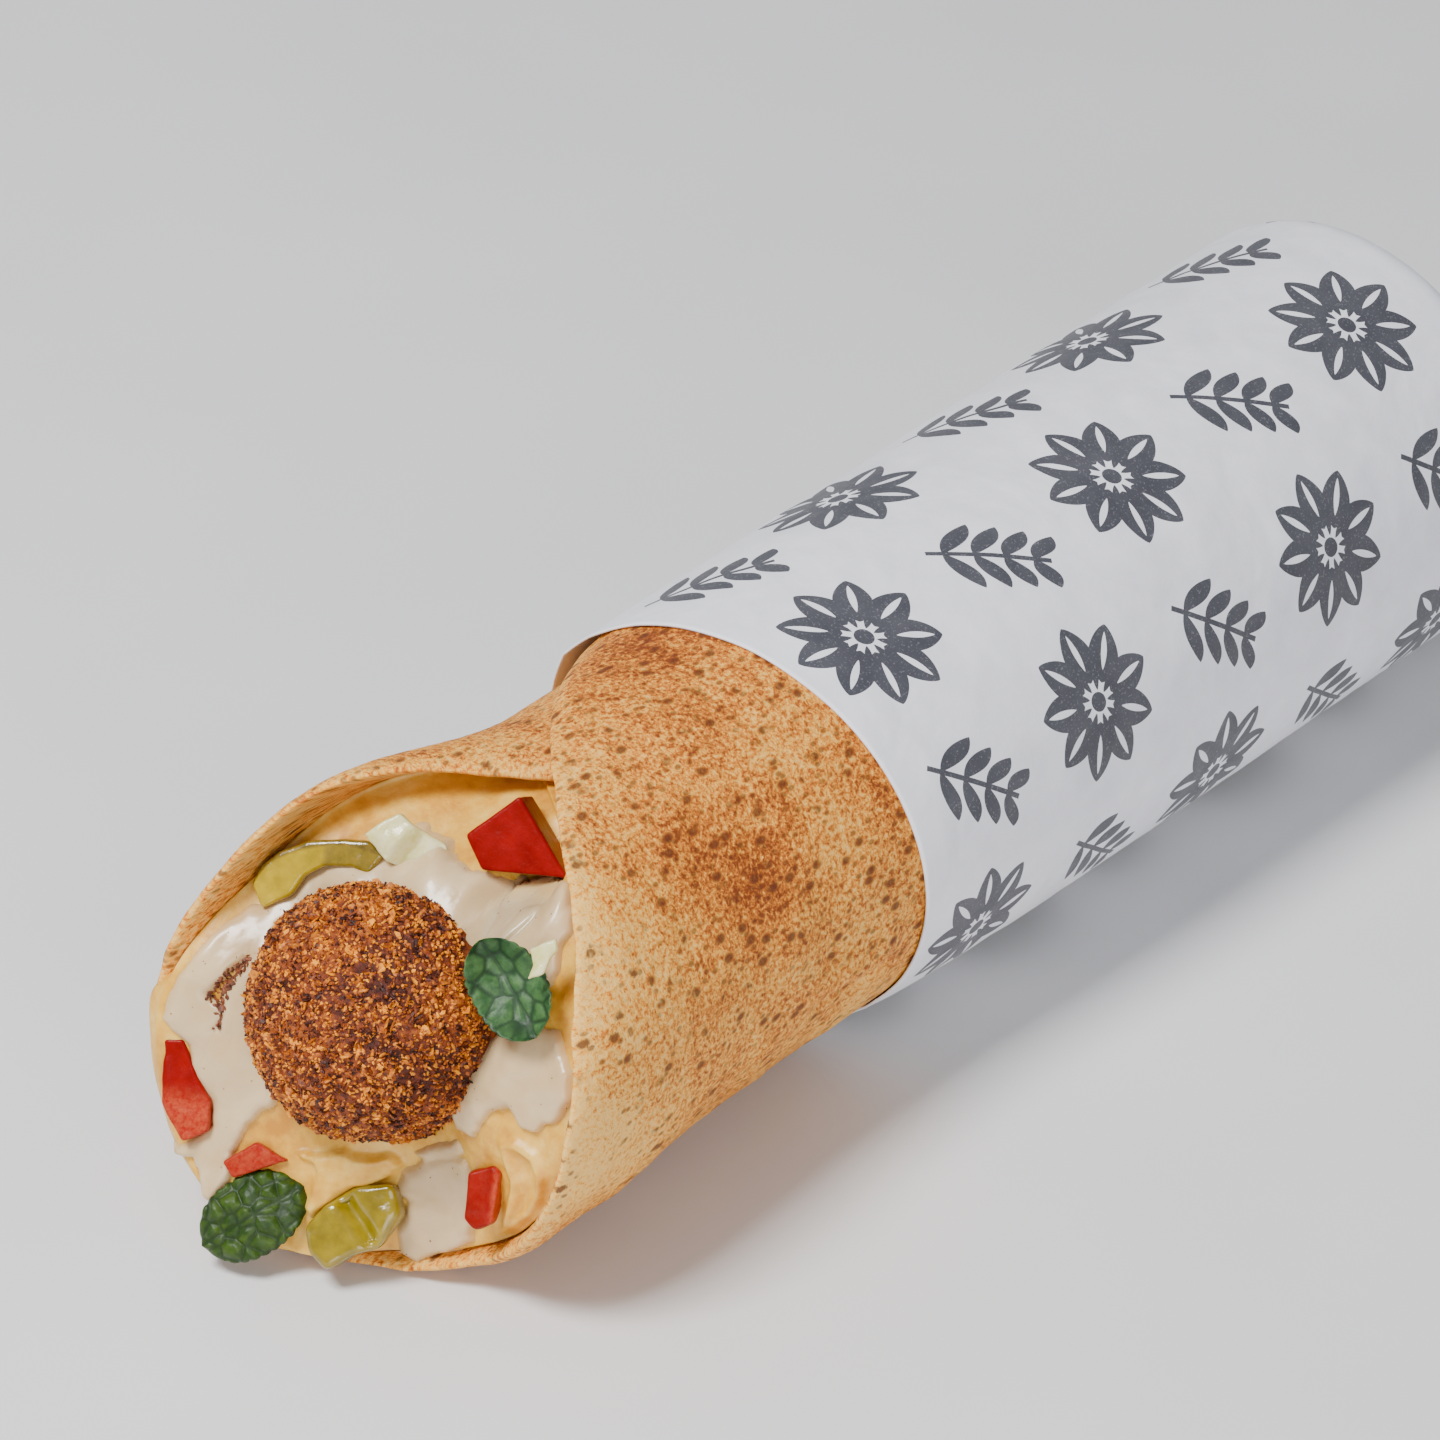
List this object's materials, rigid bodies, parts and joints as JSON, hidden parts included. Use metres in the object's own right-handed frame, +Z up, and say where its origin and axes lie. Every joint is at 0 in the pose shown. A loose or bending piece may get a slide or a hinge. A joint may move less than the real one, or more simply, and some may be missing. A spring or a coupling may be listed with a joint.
{
  "type": "falafel pita",
  "caption": "Flatbread rolled round hummus, falafel, tahini, tomato, pickle and mint, in a paper sleeve with one open end.",
  "frame": {"origin": "on the table, under the middle of the wrap's box", "axes": "+X along the roll towards its paper-covered closed end, +Z up"},
  "size_m": [0.2415, 0.0697, 0.0684],
  "materials": {
    "toasted_bread": "dry toasted flatbread with brown specks and a dusting of flour",
    "paper": "white greaseproof paper with a dark grey print",
    "hummus": "smooth moist paste",
    "fried_crust": "rough fried crumbs",
    "tahini": "thick glossy sauce",
    "tomato": "wet cut flesh",
    "pickle": "wet translucent cucumber",
    "cabbage": "crisp pale leaf",
    "mint": "crinkled leaf with raised flesh between the veins"
  },
  "bodies": {
    "root": {"pita_bread": "toasted_bread", "paper_sleeve": "paper", "hummus_filling": "hummus", "falafel_ball": "fried_crust", "tahini_left": "tahini", "tahini_right": "tahini", "tahini_pool": "tahini", "tomato_dice_top": "tomato", "tomato_dice_left": "tomato", "tomato_dice_low_left": "tomato", "tomato_dice_low_right": "tomato", "pickle_slice_top": "pickle", "pickle_slice_low": "pickle", "cabbage_piece_top": "cabbage", "cabbage_piece_right": "cabbage", "mint_leaf_right": "mint", "mint_leaf_left": "mint"}
  },
  "joints": []
}
